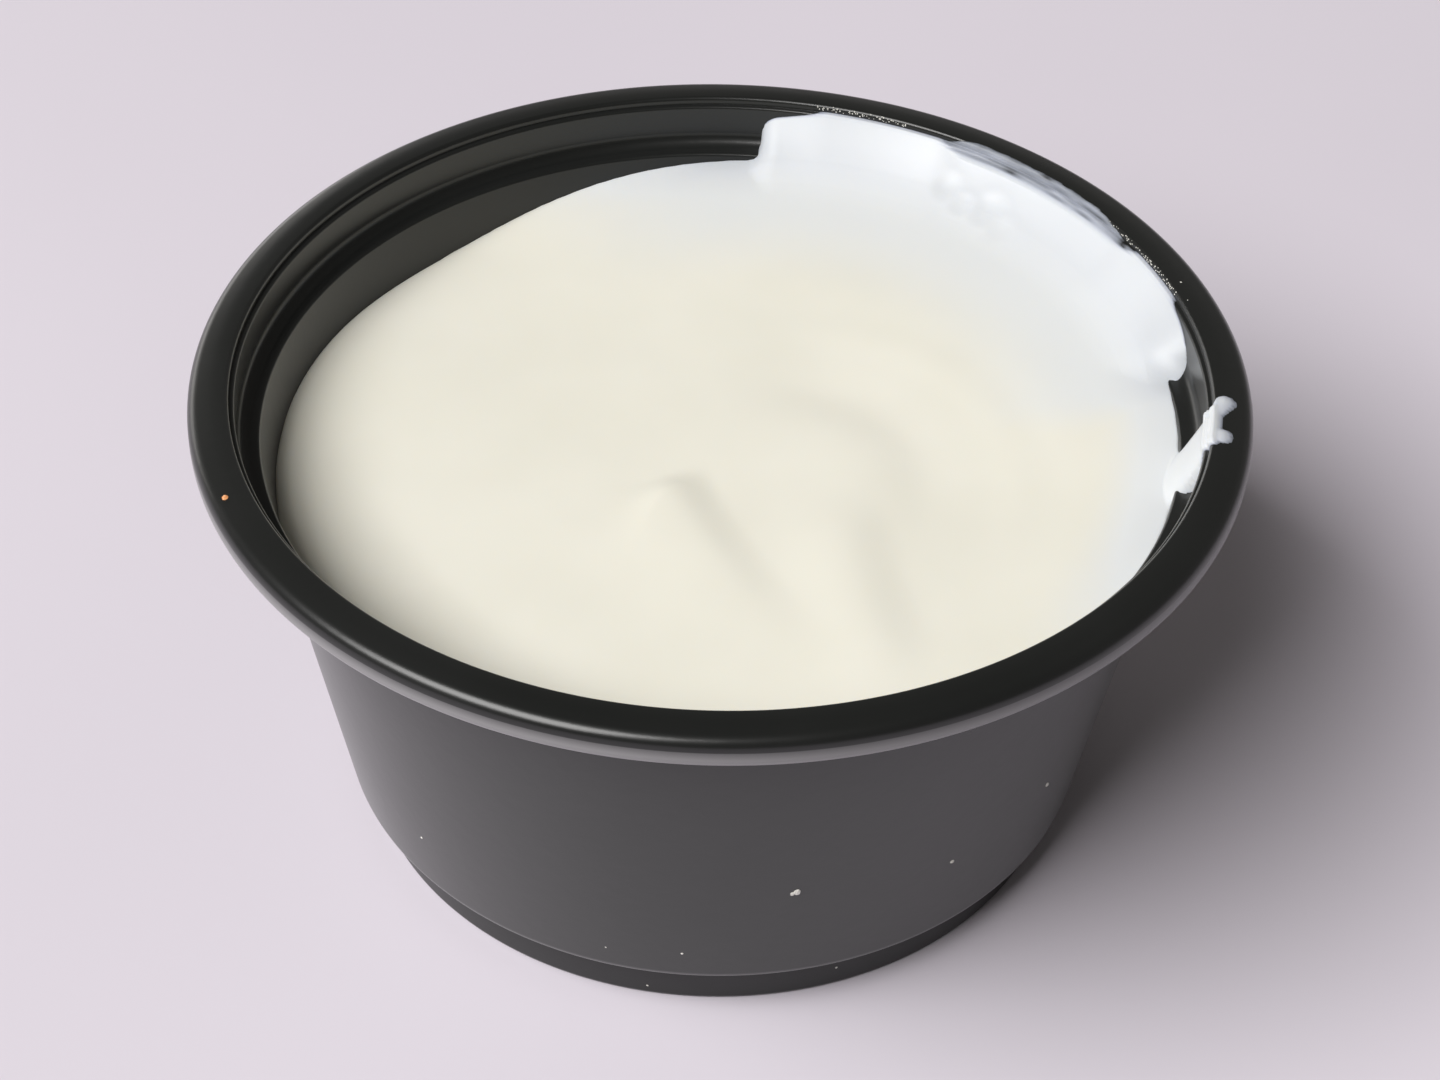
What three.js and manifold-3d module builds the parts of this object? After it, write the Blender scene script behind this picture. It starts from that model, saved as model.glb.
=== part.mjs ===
// A round sauce tub of black plastic with a lid ledge and a rolled rim, filled with thick garlic sauce.
// Millimetres, +Z up. The origin is the middle of the foot's underside, and -Y is the front.
import * as THREE from 'three';
import { mergeVertices } from 'three/addons/utils/BufferGeometryUtils.js';
import Module from 'manifold-3d';

const { degToRad, radToDeg, clamp, lerp, smoothstep } = THREE.MathUtils;

// Tub, outside.
const HEIGHT = 30.2;
const RIM_RADIUS = 31.0;
const FOOT_RADIUS = 21.6;
const FOOT_HEIGHT = 3.4;
const FOOT_STEP = 1.4;
const WALL_SLOPE = Math.tan(degToRad(10.7));
const WALL_THICKNESS = 0.45;
const FLOOR_THICKNESS = 0.6;
const FOOT_EDGE = 0.25;
const STEP_EDGE = 0.25;

// Rim, ledge and the short upright wall between them.
const RIM_SKIRT_HEIGHT = 2.3;
const RIM_SKIRT_THICKNESS = 0.9;
const RIM_TOP_THICKNESS = 0.65;
const RIM_TOP_ROUND = 0.8;
const RIM_CROWN_WIDTH = 1.5;
const RIM_CROWN_DROP = 0.3;
const RIM_CROWN_ROUND = 4;
const RIM_SKIRT_ROUND = 0.8;
const LIP_RADIUS = 28.6;
const LIP_HEIGHT = 0.25;
const LIP_ROUND = 0.25;
const LEDGE_DEPTH = 3.25;
const LEDGE_INNER_RADIUS = 27.0;
const LEDGE_FILLET = 0.8;
const LEDGE_EDGE = 0.2;
const UPPER_WALL_RADIUS = 28.3;
const UPPER_WALL_THICKNESS = 0.5;
const UPPER_WALL_ROUND = 0.2;

// Sauce: a level tilted down to the left and the front. Turns are in degrees from +X towards +Y.
const SAUCE_LEVEL = 25.0;
const SAUCE_TILT = new THREE.Vector2(0.0622, 0.058);
const SAUCE_GAP = 0.3;

// The hollow at the back left, where the sauce has drawn down from the wall.
const HOLLOW_DEPTH = 1.3;
const HOLLOW_TURN = 132;
const HOLLOW_WIDTH = 22;
const HOLLOW_RADIUS = 26.5;
const HOLLOW_BEND = 4;

// The folded crest near the middle: it starts at a tip and runs towards the front right.
const CREST_TIP = new THREE.Vector2(-2.2, -2.3);
const CREST_HEADING = degToRad(-68);
const CREST_HEIGHT = 0.49;
const CREST_OFFSET = -1.2;
const CREST_REAR_WIDTH = 4.2;
const CREST_FALL = 3.1;
const CREST_START = 1.8;
const CREST_REAR_START = 6;
const CREST_REAR_REACH = 4.5;
const CREST_REAR_EDGE = 0.5;
const CREST_FADE = 9;

// The lower fold to the right of the crest, which draws in towards it at the front.
const FOLD_HEIGHT = 0.31;
const FOLD_OFFSET = 7.8;
const FOLD_DRIFT = -0.18;
const FOLD_REAR_WIDTH = 3.2;
const FOLD_FALL = 3.6;
const FOLD_START = 4.2;
const FOLD_FULL = 10.5;

// The round groove of the swirl, behind and to the right of the crest.
const SWIRL_CENTRE = new THREE.Vector2(3.4, -3.9);
const SWIRL_RADIUS = 9.0;
const SWIRL_DEPTH = 0.3;
const SWIRL_WIDTH = 2.2;
const SWIRL_MIDDLE = degToRad(35);
const SWIRL_HALF_SPAN = degToRad(80);
const SWIRL_FULL_HALF_SPAN = SWIRL_HALF_SPAN / 3;

// Where the sauce covers the ledge and climbs to the lip: the wide stretch at the back right, then the
// smear at the right. Each runs between two turns, which blend over its end, up to its top at the wall.
const CLIMBS = [
  { from: 11.2, to: 84.8, end: 1.4, footRadius: 23.6, top: HEIGHT - 0.6, bend: 2 },
  { from: -13.2, to: -4, end: 1.3, footRadius: 25.4, top: HEIGHT - 0.2, bend: 1.2 },
];
const CLIMB_SHARP_RADIUS = 27.3;
const CLIMB_INNER_SOFTNESS = 6;

// Fineness of the solids.
const EDGE_STEPS = 2;
const ROUND_STEPS = 4;
const TUB_SEGMENTS = 64;
const SAUCE_SEGMENTS = 96;
const SAUCE_RINGS = 26;
const BLOCK_RADIUS = 29.5;

const RIM_UNDERSIDE = HEIGHT - RIM_SKIRT_HEIGHT;
const LEDGE_TOP = HEIGHT - LEDGE_DEPTH;
const LIP_FOOT = HEIGHT - LIP_ROUND - LIP_HEIGHT;

// Outer radius of the sloping wall at a height.
function wallRadius(z) {
  return FOOT_RADIUS + FOOT_STEP + WALL_SLOPE * (z - FOOT_HEIGHT);
}

// Points of a rounded corner in the (radius, height) plane, angles in degrees.
function round(middleRadius, middleZ, size, from, to, steps) {
  const points = [];
  for (let i = 0; i <= steps; i++) {
    const angle = degToRad(lerp(from, to, i / steps));
    points.push(at(middleRadius + size * Math.cos(angle), middleZ + size * Math.sin(angle)));
  }
  return points;
}

function at(radius, z) {
  return new THREE.Vector2(radius, z);
}

// A turned geometry standing on +Z, from a profile of (radius, height) points.
function turned(profile, segments) {
  return new THREE.LatheGeometry(profile, segments).rotateX(Math.PI / 2);
}

// The section of the tub, from the middle of its underside round the outside to the middle of its floor.
function tubProfile() {
  const shoulderRadius = UPPER_WALL_RADIUS + UPPER_WALL_THICKNESS;
  const shoulderFoot = LEDGE_TOP - WALL_THICKNESS;
  const channelTop = HEIGHT - RIM_TOP_THICKNESS;
  const skirtInner = RIM_RADIUS - RIM_SKIRT_THICKNESS;
  const skirtMiddle = RIM_RADIUS - RIM_SKIRT_ROUND;
  const crownLean = Math.atan(RIM_CROWN_DROP / RIM_CROWN_WIDTH);
  const crownAngle = 90 - radToDeg(crownLean);
  const crownMiddle = RIM_RADIUS - RIM_CROWN_WIDTH - RIM_CROWN_ROUND * Math.tan(crownLean / 2);
  const topReach = RIM_TOP_ROUND * Math.tan(degToRad(crownAngle / 2));
  const topMiddle = HEIGHT - RIM_CROWN_DROP - topReach;
  const upperMiddle = UPPER_WALL_RADIUS + UPPER_WALL_ROUND;
  const ledgeInnerFoot = LEDGE_TOP - LEDGE_EDGE;
  const innerFootTop = FOOT_HEIGHT + WALL_THICKNESS;
  return [
    at(0, 0),
    ...round(FOOT_RADIUS - FOOT_EDGE, FOOT_EDGE, FOOT_EDGE, -90, 0, EDGE_STEPS),
    at(FOOT_RADIUS, FOOT_HEIGHT),
    ...round(wallRadius(FOOT_HEIGHT) - STEP_EDGE, FOOT_HEIGHT + STEP_EDGE, STEP_EDGE, -90, 0, EDGE_STEPS),
    at(wallRadius(shoulderFoot), shoulderFoot),
    ...round(shoulderRadius - LEDGE_EDGE, shoulderFoot + LEDGE_EDGE, LEDGE_EDGE, -90, 0, EDGE_STEPS),
    at(shoulderRadius, channelTop),
    at(skirtInner, channelTop),
    at(skirtInner, RIM_UNDERSIDE),
    ...round(skirtMiddle, RIM_UNDERSIDE + RIM_SKIRT_ROUND, RIM_SKIRT_ROUND, -90, 0, ROUND_STEPS),
    ...round(RIM_RADIUS - RIM_TOP_ROUND, topMiddle, RIM_TOP_ROUND, 0, crownAngle, ROUND_STEPS),
    ...round(crownMiddle, HEIGHT - RIM_CROWN_ROUND, RIM_CROWN_ROUND, crownAngle, 90, EDGE_STEPS),
    ...round(LIP_RADIUS + LIP_ROUND, HEIGHT - LIP_ROUND, LIP_ROUND, 90, 180, ROUND_STEPS),
    ...round(upperMiddle, LIP_FOOT - UPPER_WALL_ROUND, UPPER_WALL_ROUND, 90, 180, ROUND_STEPS),
    ...round(UPPER_WALL_RADIUS - LEDGE_FILLET, LEDGE_TOP + LEDGE_FILLET, LEDGE_FILLET, 0, -90, ROUND_STEPS),
    ...round(LEDGE_INNER_RADIUS + LEDGE_EDGE, ledgeInnerFoot, LEDGE_EDGE, 90, 180, EDGE_STEPS),
    at(wallRadius(innerFootTop) - WALL_THICKNESS, innerFootTop),
    at(FOOT_RADIUS - WALL_THICKNESS, innerFootTop),
    at(FOOT_RADIUS - WALL_THICKNESS, FLOOR_THICKNESS),
    at(0, FLOOR_THICKNESS),
  ];
}

// The room inside the tub up to the lip, drawn in by the gap that the sauce keeps to the plastic.
function roomProfile() {
  const floor = FLOOR_THICKNESS + SAUCE_GAP;
  const innerFootTop = FOOT_HEIGHT + WALL_THICKNESS + SAUCE_GAP;
  const footRadius = FOOT_RADIUS - WALL_THICKNESS - SAUCE_GAP;
  const wallIn = WALL_THICKNESS + SAUCE_GAP;
  const overLedge = LEDGE_TOP + SAUCE_GAP;
  const upperRadius = UPPER_WALL_RADIUS - SAUCE_GAP;
  const fillet = LEDGE_FILLET - SAUCE_GAP;
  return [
    at(0, floor),
    at(footRadius, floor),
    at(footRadius, innerFootTop),
    at(wallRadius(innerFootTop) - wallIn, innerFootTop),
    at(LEDGE_INNER_RADIUS - SAUCE_GAP, overLedge),
    ...round(upperRadius - fillet, overLedge + fillet, fillet, -90, 0, EDGE_STEPS),
    at(upperRadius, HEIGHT),
    at(0, HEIGHT),
  ];
}

// A ridge across an offset v: gentle on its rear side, steep on its falling side.
function ridge(v, rearWidth, fall) {
  if (v < 0) {
    return Math.exp(-((v / rearWidth) ** 2));
  }
  return 0.5 * (1 + Math.cos(Math.PI * Math.min(v / fall, 1)));
}

// Height of the crest and of the lower fold beside it, along the crest's own heading.
function foldedCrest(x, y) {
  const along = (x - CREST_TIP.x) * Math.cos(CREST_HEADING) + (y - CREST_TIP.y) * Math.sin(CREST_HEADING);
  const across = (y - CREST_TIP.y) * Math.cos(CREST_HEADING) - (x - CREST_TIP.x) * Math.sin(CREST_HEADING);
  const rearShare = 1 - smoothstep(across - CREST_OFFSET, -CREST_REAR_REACH, CREST_REAR_EDGE);
  const crestStart = lerp(CREST_START, CREST_REAR_START, rearShare);
  const crestFade = Math.exp(-Math.max(along - CREST_START, 0) / CREST_FADE);
  const crestShare = smoothstep(along, 0, crestStart) * crestFade;
  const foldShare = smoothstep(along, FOLD_START, FOLD_FULL);
  const foldOffset = FOLD_OFFSET + FOLD_DRIFT * along;
  const crest = CREST_HEIGHT * crestShare * ridge(across - CREST_OFFSET, CREST_REAR_WIDTH, CREST_FALL);
  const fold = FOLD_HEIGHT * foldShare * ridge(across - foldOffset, FOLD_REAR_WIDTH, FOLD_FALL);
  return crest + fold;
}

// Depth of the swirl's groove, fading towards both ends of its arc.
function swirlGroove(x, y) {
  const dx = x - SWIRL_CENTRE.x;
  const dy = y - SWIRL_CENTRE.y;
  const turn = Math.abs(Math.atan2(dy, dx) - SWIRL_MIDDLE);
  const share = 1 - smoothstep(Math.min(turn, 2 * Math.PI - turn), SWIRL_FULL_HALF_SPAN, SWIRL_HALF_SPAN);
  return SWIRL_DEPTH * share * Math.exp(-(((Math.hypot(dx, dy) - SWIRL_RADIUS) / SWIRL_WIDTH) ** 2));
}

// Depth of the hollow at the back left, growing towards the wall.
function wallHollow(radius, turn) {
  const share = Math.exp(-(((turn - HOLLOW_TURN) / HOLLOW_WIDTH) ** 2));
  return HOLLOW_DEPTH * share * (radius / HOLLOW_RADIUS) ** HOLLOW_BEND;
}

// Raises a level towards the lip where the sauce climbs, with softer ends away from the wall.
function climbed(level, radius, turn) {
  let height = level;
  for (const { from, to, end, footRadius, top, bend } of CLIMBS) {
    const nearWall = smoothstep(radius, footRadius, CLIMB_SHARP_RADIUS);
    const soft = end * lerp(CLIMB_INNER_SOFTNESS, 1, nearWall);
    const begun = smoothstep(turn, from - soft, from + soft);
    const ended = smoothstep(turn, to - soft, to + soft);
    const outward = clamp((radius - footRadius) / (UPPER_WALL_RADIUS - footRadius), 0, 1);
    height = lerp(height, top, begun * (1 - ended) * outward ** bend);
  }
  return height;
}

// Height of the sauce's surface.
function sauceHeight(x, y) {
  const radius = Math.hypot(x, y);
  const turn = radToDeg(Math.atan2(y, x));
  const level = SAUCE_LEVEL + SAUCE_TILT.x * x + SAUCE_TILT.y * y;
  const worked = level - wallHollow(radius, turn) + foldedCrest(x, y) - swirlGroove(x, y);
  return climbed(worked, radius, turn);
}

// A round block wider than the tub whose top is the sauce's surface.
function sauceBlock() {
  const profile = [at(0, 0), at(BLOCK_RADIUS, 0)];
  for (let ring = SAUCE_RINGS; ring >= 0; ring--) {
    profile.push(at((BLOCK_RADIUS * ring) / SAUCE_RINGS, HEIGHT));
  }
  const block = turned(profile, SAUCE_SEGMENTS);
  const position = block.getAttribute('position');
  for (let i = 0; i < position.count; i++) {
    if (position.getZ(i) > HEIGHT / 2) {
      position.setZ(i, sauceHeight(position.getX(i), position.getY(i)));
    }
  }
  return block;
}

const wasm = await Module();
wasm.setup();

// A solid for joining and cutting: shared vertices merged, flat triangles at the poles dropped.
function toSolid(geometry) {
  const bare = geometry.clone();
  bare.deleteAttribute('normal');
  bare.deleteAttribute('uv');
  const merged = mergeVertices(bare);
  const corners = merged.index.array;
  const kept = [];
  for (let i = 0; i < corners.length; i += 3) {
    const [a, b, c] = corners.slice(i, i + 3);
    if (a !== b && b !== c && c !== a) {
      kept.push(a, b, c);
    }
  }
  const mesh = new wasm.Mesh({
    numProp: 3,
    vertProperties: new Float32Array(merged.getAttribute('position').array),
    triVerts: new Uint32Array(kept),
  });
  return new wasm.Manifold(mesh);
}

function toGeometry(solid) {
  const { vertProperties, triVerts } = solid.getMesh();
  const geometry = new THREE.BufferGeometry();
  geometry.setAttribute('position', new THREE.BufferAttribute(vertProperties, 3));
  geometry.setIndex(new THREE.BufferAttribute(triVerts, 1));
  geometry.computeVertexNormals();
  return geometry;
}

function named(name, geometry, material) {
  const mesh = new THREE.Mesh(geometry, material);
  mesh.name = name;
  return mesh;
}

const blackPlastic = new THREE.MeshStandardMaterial({ color: 0x232322, roughness: 0.42, metalness: 0 });
const garlicSauce = new THREE.MeshStandardMaterial({ color: 0xece7d9, roughness: 0.38, metalness: 0 });

const sauceSolid = toSolid(sauceBlock()).intersect(toSolid(turned(roomProfile(), SAUCE_SEGMENTS)));

const filledTub = new THREE.Group();
filledTub.add(named('tub', turned(tubProfile(), TUB_SEGMENTS), blackPlastic));
filledTub.add(named('sauce', toGeometry(sauceSolid), garlicSauce));

export default filledTub;
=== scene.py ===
"""A black plastic sauce tub filled with garlic sauce, on a pale table in soft light from the left."""
import math

import bmesh
import bpy
import numpy as np
from mathutils import Matrix, Vector


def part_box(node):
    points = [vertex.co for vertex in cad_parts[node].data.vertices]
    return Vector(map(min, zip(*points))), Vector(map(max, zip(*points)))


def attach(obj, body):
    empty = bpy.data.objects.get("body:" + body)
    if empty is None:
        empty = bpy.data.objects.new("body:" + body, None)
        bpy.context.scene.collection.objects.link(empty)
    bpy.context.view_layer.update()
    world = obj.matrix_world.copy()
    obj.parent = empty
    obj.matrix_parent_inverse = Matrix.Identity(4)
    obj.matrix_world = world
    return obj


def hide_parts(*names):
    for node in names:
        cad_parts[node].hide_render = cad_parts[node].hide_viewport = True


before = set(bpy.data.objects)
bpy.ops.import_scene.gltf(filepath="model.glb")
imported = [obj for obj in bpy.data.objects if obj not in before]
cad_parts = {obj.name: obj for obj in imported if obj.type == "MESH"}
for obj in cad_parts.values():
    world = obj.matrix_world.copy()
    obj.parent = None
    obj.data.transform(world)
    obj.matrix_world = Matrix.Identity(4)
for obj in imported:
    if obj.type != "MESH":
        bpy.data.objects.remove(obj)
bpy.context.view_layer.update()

# Sizes are in millimetres until a mesh is made.
MM = 0.001
_, TUB_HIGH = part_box("tub")

# Tub.
HEIGHT = TUB_HIGH.z / MM
RIM_RADIUS = TUB_HIGH.x / MM
FOOT_RADIUS = 21.6
FOOT_HEIGHT = 3.4
FOOT_STEP = 1.4
WALL_SLOPE = math.tan(math.radians(10.7))
WALL_THICKNESS = 0.45
FLOOR_THICKNESS = 0.6
RIM_UNDERSIDE = HEIGHT - 2.3
RIM_SKIRT_THICKNESS = 0.9
RIM_TOP_THICKNESS = 0.65
RIM_CROWN_WIDTH = 1.5
RIM_CROWN_DROP = 0.3
RIM_CROWN_ROUND = 4.0
RIM_TOP_ROUND = 0.8
LIP_RADIUS = 28.6
LIP_FOOT = HEIGHT - 0.5
LIP_ROUND = 0.25
LEDGE_TOP = HEIGHT - 3.25
LEDGE_INNER_RADIUS = 27.0
UPPER_WALL_RADIUS = 28.3
UPPER_WALL_THICKNESS = 0.5
STEP_EDGE = 0.4
# Roundings of the section's corners: from the floor up the inside, then down the outside to the foot.
FLOOR_ROUND = 0.6
INNER_STEP_ROUND = 0.2
LEDGE_EDGE_ROUND = 0.22
LEDGE_CORNER_ROUND = 0.8
UPPER_WALL_ROUND = 0.18
LIP_FOOT_ROUND = 0.02
SKIRT_ROUND = 0.8
SKIRT_INNER_ROUND = 0.04
CHANNEL_ROUND = 0.2
SHOULDER_ROUND = 0.25
SHOULDER_FOOT_ROUND = 0.2
STEP_EDGE_ROUND = 0.28
FOOT_TOP_ROUND = 0.15
FOOT_ROUND = 0.3
# Painted highlight, standing in for the table's reflection: how pale the plastic is painted on the rim's
# lower edge, on the skirt up to a reach above it, and on the foot's step.
PAINTED_HIGHLIGHT_REACH = 1.3
PAINTED_HIGHLIGHT_RIM_EDGE = 1.0
PAINTED_HIGHLIGHT_SKIRT = 0.4
PAINTED_HIGHLIGHT_STEP = 0.35
# The painted highlight fades from the left to the right of the tub, as the light falls from the left:
# places along X, and the share kept at each.
HIGHLIGHT_FADE_FROM, HIGHLIGHT_FADE_TO = -5.0, 30.0
HIGHLIGHT_LEFT, HIGHLIGHT_RIGHT = 1.0, 0.5
# Steps round the tub and round each corner. The ring that the section is turned on has a radius of its own.
TURN_STEPS = 256
ROUND_STEPS = 7
TURN_CORE = 1.0
WELD_DISTANCE = 0.004
LINE_ROUND_STEPS = 9

# Sauce surface: level, tilt and the worked shapes in it.
SAUCE_LEVEL = 25.0
SAUCE_TILT = (0.0622, 0.058)
# The hollow at the back left, where the sauce has drawn down from the wall.
HOLLOW_DEPTH = 1.3
HOLLOW_TURN = 132.0
HOLLOW_WIDTH = 22.0
HOLLOW_REACH = 26.5
HOLLOW_BEND = 4
# The folded crest near the middle and the lower fold beside it.
CREST_TIP = (-2.2, -2.3)
CREST_HEADING = math.radians(-68.0)
CREST_HEIGHT = 0.46
CREST_OFFSET = -1.7
# The crest turns aside as it runs to the front, by this share of the square of its length.
CREST_BEND = 0.0065
CREST_REAR_WIDTH = 4.2
CREST_FALL = 3.1
CREST_START = 1.8
CREST_REAR_START = 6.0
CREST_REAR_SPAN = (-4.5, 0.5)
CREST_FADE = 11.0
CREST_END = (11.0, 20.0)
FOLD_HEIGHT = 0.31
FOLD_OFFSET = 7.8
FOLD_DRIFT = -0.18
FOLD_REAR_WIDTH = 3.2
FOLD_FALL = 3.6
FOLD_START = 4.2
FOLD_FULL = 10.5
FOLD_END = (16.0, 23.5)
SWIRL_CENTRE = (3.4, -3.9)
SWIRL_MIDDLE = math.radians(35)
SWIRL_HALF_SPAN = math.radians(80)
SWIRL_FULL_HALF_SPAN = SWIRL_HALF_SPAN / 3
# Each ring of the swirl: radius and depth of its groove, and the width of its inner and its outer bank.
SWIRL_RINGS = ((9.0, 0.32, 2.4, 4.2), (12.6, 0.05, 1.3, 1.3), (15.6, 0.05, 1.4, 1.4))
# Slight unevenness all over the open surface.
UNEVEN_HEIGHT = 0.03
UNEVEN_CELL = 5.0
UNEVEN_SHIFT = 60
UNEVEN_SEED = 3
# Where the sauce climbs the wall: the wide climb, then the smear's tongue. Each runs between two turns in
# degrees, which shift per millimetre inwards; its two ends are rounded and its top drops towards them.
CLIMBS = (
    {
        "start": 10.2, "start_shift": 0.0, "start_round": 2.4,
        "end": 85.3, "end_shift": 0.0, "end_round": 1.2,
        "foot": 23.6, "top": HEIGHT - 0.4, "end_drop": 0.7, "bend": 2.0,
    },
    {
        "start": -12.3, "start_shift": -1.1, "start_round": 2.2,
        "end": -3.9, "end_shift": -0.45, "end_round": 2.2,
        "foot": 26.2, "top": HEIGHT - 0.05, "end_drop": 0.0, "bend": 1.2,
    },
)
CLIMB_END_REACH = 9.0
CLIMB_BLEND = 0.9
CLIMB_BLEND_LEAST = 0.001
CLIMB_BLEND_RISE = 2.0
# Faint marks left by bubbles on the climb: turn in degrees, radius, width, depth.
BUBBLE_MARKS = (
    (50.5, 26.0, 0.9, 0.13), (54.5, 25.7, 0.6, 0.10),
    (47.0, 25.3, 0.7, 0.08), (58.0, 26.4, 0.7, 0.09),
)
# Their raised edge: share of the depth, and its place and width in widths of the mark.
BUBBLE_EDGE, BUBBLE_EDGE_PLACE, BUBBLE_EDGE_WIDTH = 0.4, 1.4, 0.5

# A film's place is its run along the plastic from the ledge's inner edge, and its turn round the tub.
MM_PER_DEGREE = math.radians(UPPER_WALL_RADIUS)
# The film at the back right, wiped thin. A soft window in degrees says where the climb's top drops for it.
STREAKED_WINDOW = (27.0, 32.0, 57.0, 62.0)
STREAKED_DROP = 0.55
# Its ends in degrees, and its top edge: the run, how much further it runs in the middle, and the ragged
# line as layers of noise (height, shift along the run, cell, seed).
STREAKED_START, STREAKED_END = 25.0, 66.0
STREAKED_END_BLEND = 0.6
STREAKED_TOP = 3.85
STREAKED_TOP_RISE = 0.75
STREAKED_MIDDLE = 46.0
STREAKED_HALF_WIDTH = 14.0
STREAKED_SQUARENESS = 8
STREAKED_RAGGED = ((0.06, 20, 0.9, 11), (0.04, 0, 0.35, 12))
STREAKED_RAGGED_SHIFT = 40
STREAKED_CORNER_BLEND = 0.5
STREAKED_EDGE = 0.35
# Its depth, what wiping takes off between two runs, and what the streaks keep of that.
STREAKED_DEPTH = 0.14
WIPED_DEPTH = 0.125
WIPED_RUNS = (3.0, 3.5)
STREAK_DEPTH = 0.05
# The streaks' pattern: stretched along the lip and squeezed across it, shifted, with its cell and seed.
STREAK_ALONG, STREAK_ACROSS = 0.4, 1.6
STREAK_SHIFT = 30
STREAK_CELL = 0.5
STREAK_SEED = 14
# The end of the smear, over the lip: its turns in degrees, its runs, depth and rounded edge.
SMEAR_START, SMEAR_END = -11.4, -4.1
SMEAR_LOW, SMEAR_HIGH = 3.0, 4.8
SMEAR_BLEND = 0.4
SMEAR_DEPTH, SMEAR_EDGE = 0.24, 0.4
# Its two fingers on the rim: run and turn of both ends, then the radius.
FINGERS = (((4.2, -6.0), (5.0, -3.7), 0.62), ((4.3, -9.4), (4.95, -9.8), 0.60))
FINGER_DEPTH, FINGER_EDGE = 0.13, 0.5

# Where the sauce is painted cooler and darker, a bluish tint with painted shade where the climbs face the
# light: how much, a soft window in degrees, and steps outwards (share, from, to).
COOL_AND_SHADE_ZONES = (
    (0.8, (-2.0, 9.0, 88.0, 125.0), ((0.45, 14.0, 23.0), (0.55, 22.5, 27.0))),
    (0.55, (-50.0, -16.0, 10.0, 30.0), ((1.0, 22.0, 26.5),)),
    (0.7, (-18.0, -13.5, -4.5, -2.0), ((1.0, 25.5, 27.5),)),
)
# Painted shade, darker still at both ends of the wide climb, which face the light; and cooler wherever the
# sauce is thin.
SHADED_END_WINDOWS = ((60.0, 74.0, 92.0, 100.0), (2.0, 8.0, 13.0, 24.0))
SHADED_END_SHARE = 0.2
SHADED_END_RADII = (24.5, 27.0)
COOL_THIN_SHARE = 0.4
COOL_THIN_DEPTHS = (0.15, 0.7)

# The sauce's skin is read along lines: upright ones near the middle, then a fan from a ring above the edge.
FAN_RADIUS = 24.5
FAN_HEIGHT = 33.0
FAN_LOW = math.radians(-90)
FAN_HIGH = math.radians(-26)
FAN_LINES = 118
FAN_REACH = 30.0
HALVINGS = 40
MIDDLE_RINGS = 40
# Columns round the tub, in degrees: from, to, step. The smeared stretches are finer.
COLUMN_BANDS = ((-18.0, 18.0, 0.25), (18.0, 74.0, 0.5), (74.0, 90.0, 0.25), (90.0, 342.0, 1.2))
MENISCUS = 0.15
# How far the skin's underside lies in the plastic, how steeply a film sinks in past its outline, and by how
# much a film's last trace is drawn in.
SINK = 0.12
SINK_SLOPE = 0.24
TRACE_DEPTH = 0.03
TRACE_SINK = 0.04
LEAST_THICKNESS = 0.02
VISIBLE_DEPTH = -0.03
BEHIND_PLASTIC = 1.0
LEAST_FACING = 0.15
# Depth of sauce with nothing to see through. On the ledge and low on the wall the sauce never looks thin: a
# millimetre is added to its depth up to the first run, fading out by the second.
DEEP = 9.0
DEEP_RUNS = (1.6, 2.6)
FOOT_CLEARANCE = 0.3

# Specks on the outside: turn in degrees, height, size. The last ones are on the foot.
WALL_SPECKS = (
    (-78.4, 11.85, 0.24), (-79.0, 11.72, 0.16), (-55.0, 10.3, 0.15), (-37.1, 11.7, 0.17),
    (-93.7, 5.8, 0.08), (-135.4, 8.1, 0.08), (-104.8, 5.3, 0.05), (-99.5, 0.7, 0.07), (-69.4, 1.45, 0.08),
)
# On the rim's top: turn in degrees, radius, size.
ORANGE_FLECKS = ((-156.0, 30.1, 0.21),)
PALE_FLECKS = ((19.5, 29.3, 0.07), (16.0, 29.0, 0.04))
# Droplets along the lip: from, to, number.
DROPLET_BANDS = ((66.5, 78.5, 70), (18.0, 27.0, 50), (27.0, 34.0, 24))
DROPLET_SIZES = (0.025, 0.055)
DROPLET_HEIGHTS = (HEIGHT - 0.34, HEIGHT - 0.06)
DROPLET_SEED = 5
# How fine each kind of speck is, as subdivisions of a ball, and the scale of the noise that dents it.
SPECK_FINENESS = 4
FLECK_FINENESS = 3
DROPLET_FINENESS = 2
SPECK_LUMPS = 1.3

# Camera, fitted to the photograph's circles.
VIEW_ELEVATION = math.radians(40.64)
VIEW_ROLL = math.radians(1.28)
VIEW_TARGET = (0.14, -13.80, 29.11)
VIEW_DISTANCE = 200.2
VIEW_LENS = 90.0
VIEW_SENSOR = 36.0

# Table and room, in metres.
TABLE_HALF = 3.0
LIGHT_TARGET = (0.0, 0.0, 0.02)


def smooth(value, low, high):
    """A soft step from 0 at low to 1 at high."""
    t = np.clip((value - low) / (high - low), 0.0, 1.0)
    return t * t * (3.0 - 2.0 * t)


def between(value, rise, high, fall, low):
    """A soft window: 0 up to rise, 1 from high to fall, 0 again from low."""
    return smooth(value, rise, high) * (1.0 - smooth(value, fall, low))


def soft_min(a, b, width):
    """The smaller of two values, blended where they lie within width of each other."""
    h = np.clip(0.5 + 0.5 * (b - a) / width, 0.0, 1.0)
    return b + (a - b) * h - width * h * (1.0 - h)


def soft_max(a, b, width):
    """The larger of two values, blended where they lie within width of each other."""
    return -soft_min(-a, -b, width)


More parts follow.
